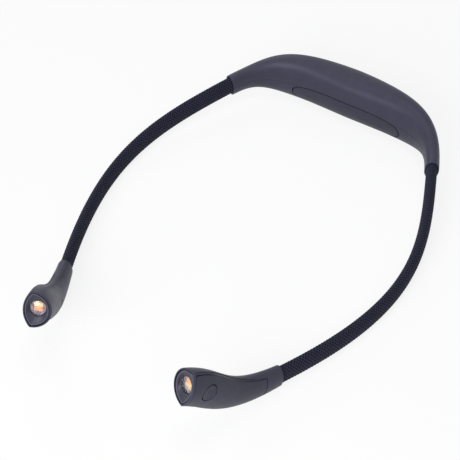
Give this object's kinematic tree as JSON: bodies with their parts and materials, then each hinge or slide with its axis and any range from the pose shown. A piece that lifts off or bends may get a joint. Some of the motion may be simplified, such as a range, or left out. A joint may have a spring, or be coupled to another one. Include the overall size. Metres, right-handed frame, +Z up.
{
  "type": "neck reading light",
  "caption": "Wearable reading light: a crescent housing for the back of the neck, a bendable sleeved arm from each end, and a leaf-section lamp head at each tip.",
  "frame": {"origin": "bottom centre of the bounding box, on the surface that the housing and arms rest on", "axes": "+X to one side of the wearer, +Y from the lamp heads to the housing, +Z up"},
  "size_m": [0.1682, 0.2504, 0.0481],
  "materials": {
    "button": "soft matte",
    "cell_foil": "foil",
    "charcoal_shell": "soft matte",
    "face_bezel": "satin",
    "ferrule_brass": "satin",
    "gooseneck_steel": "satin",
    "green_board": "solder resist",
    "knit_sleeve": "fine knit",
    "lead_jacket": "smooth",
    "led_board": "white solder resist",
    "led_cool": "phosphor",
    "led_warm": "phosphor",
    "lens": "clear",
    "light_pipe": "clear",
    "neck_pad": "matte soft-touch",
    "port_steel": "satin",
    "screw_steel": "satin",
    "side_cover": "soft matte",
    "switch_steel": "satin"
  },
  "bodies": {
    "housing": {"housing_upper_shell": "charcoal_shell", "housing_lower_shell": "charcoal_shell", "neck_pad": "neck_pad", "battery_cell": "cell_foil", "main_board": "green_board", "usb_c_port": "port_steel", "charge_indicator": "light_pipe", "right_housing_screw": "screw_steel", "right_rear_ferrule": "ferrule_brass", "right_rear_lead": "lead_jacket", "right_sleeve_root": "knit_sleeve", "right_gooseneck_root": "gooseneck_steel", "left_housing_screw": "screw_steel", "left_rear_ferrule": "ferrule_brass", "left_rear_lead": "lead_jacket", "left_sleeve_root": "knit_sleeve", "left_gooseneck_root": "gooseneck_steel"},
    "right_arm_rear": {"right_sleeve_rear": "knit_sleeve", "right_gooseneck_rear": "gooseneck_steel"},
    "right_arm_front": {"right_sleeve_front": "knit_sleeve", "right_gooseneck_front": "gooseneck_steel"},
    "right_arm_tip": {"right_sleeve_tip": "knit_sleeve", "right_gooseneck_tip": "gooseneck_steel"},
    "right_head": {"right_sleeve_head": "knit_sleeve", "right_gooseneck_head": "gooseneck_steel", "right_front_ferrule": "ferrule_brass", "right_front_lead": "lead_jacket", "right_head_shell": "charcoal_shell", "right_side_cover": "side_cover", "right_face_bezel": "face_bezel", "right_lens": "lens", "right_led_board": "led_board", "right_led_cool": "led_cool", "right_led_warm": "led_warm", "right_switch_board": "green_board", "right_tact_switch": "switch_steel"},
    "right_button_cap": {"right_button": "button"},
    "left_arm_rear": {"left_sleeve_rear": "knit_sleeve", "left_gooseneck_rear": "gooseneck_steel"},
    "left_arm_front": {"left_sleeve_front": "knit_sleeve", "left_gooseneck_front": "gooseneck_steel"},
    "left_arm_tip": {"left_sleeve_tip": "knit_sleeve", "left_gooseneck_tip": "gooseneck_steel"},
    "left_head": {"left_sleeve_head": "knit_sleeve", "left_gooseneck_head": "gooseneck_steel", "left_front_ferrule": "ferrule_brass", "left_front_lead": "lead_jacket", "left_head_shell": "charcoal_shell", "left_side_cover": "side_cover", "left_face_bezel": "face_bezel", "left_lens": "lens", "left_led_board": "led_board", "left_led_cool": "led_cool", "left_led_warm": "led_warm", "left_switch_board": "green_board", "left_tact_switch": "switch_steel"},
    "left_button_cap": {"left_button": "button"}
  },
  "joints": [
    {"name": "right_arm_spread", "type": "hinge", "parent": "housing", "child": "right_arm_rear", "pos_m": [0.06908, 0.06541, 0.0108], "axis": [0, 0, 1], "range_deg": [-4, 35], "deforming": ["right_sleeve_root", "right_sleeve_rear"]},
    {"name": "right_arm_lift", "type": "hinge", "parent": "right_arm_rear", "child": "right_arm_front", "pos_m": [0.08116, 0.01522, 0.00615], "axis": [-0.9992, -0.0401, 0], "range_deg": [-30, 30], "deforming": ["right_sleeve_rear", "right_sleeve_front"]},
    {"name": "right_head_turn", "type": "hinge", "parent": "right_arm_front", "child": "right_arm_tip", "pos_m": [0.07464, -0.03227, 0.00596], "axis": [0, 0, 1], "range_deg": [-10, 30], "deforming": ["right_sleeve_front", "right_sleeve_tip"]},
    {"name": "right_head_tilt", "type": "hinge", "parent": "right_arm_tip", "child": "right_head", "pos_m": [0.06547, -0.05927, 0.0076], "axis": [-0.9319, 0.3627, 0], "range_deg": [-40, 40], "deforming": ["right_sleeve_tip", "right_sleeve_head"]},
    {"name": "right_button_press", "type": "slide", "parent": "right_head", "child": "right_button_cap", "axis": [-0.9161, 0.3993, -0.0359], "range_m": [0, 0.0005], "stiffness_N_per_m": 400},
    {"name": "left_arm_spread", "type": "hinge", "parent": "housing", "child": "left_arm_rear", "pos_m": [-0.06908, 0.06541, 0.0108], "axis": [0, 0, -1], "range_deg": [-4, 35], "deforming": ["left_sleeve_root", "left_sleeve_rear"]},
    {"name": "left_arm_lift", "type": "hinge", "parent": "left_arm_rear", "child": "left_arm_front", "pos_m": [-0.08116, 0.01522, 0.00615], "axis": [-0.9992, 0.0401, 0], "range_deg": [-30, 30], "deforming": ["left_sleeve_rear", "left_sleeve_front"]},
    {"name": "left_head_turn", "type": "hinge", "parent": "left_arm_front", "child": "left_arm_tip", "pos_m": [-0.07464, -0.03227, 0.00596], "axis": [0, 0, -1], "range_deg": [-10, 30], "deforming": ["left_sleeve_front", "left_sleeve_tip"]},
    {"name": "left_head_tilt", "type": "hinge", "parent": "left_arm_tip", "child": "left_head", "pos_m": [-0.06547, -0.05927, 0.0076], "axis": [-0.9319, -0.3627, 0], "range_deg": [-40, 40], "deforming": ["left_sleeve_tip", "left_sleeve_head"]},
    {"name": "left_button_press", "type": "slide", "parent": "left_head", "child": "left_button_cap", "axis": [0.9161, 0.3993, -0.0359], "range_m": [0, 0.0005], "stiffness_N_per_m": 400}
  ]
}
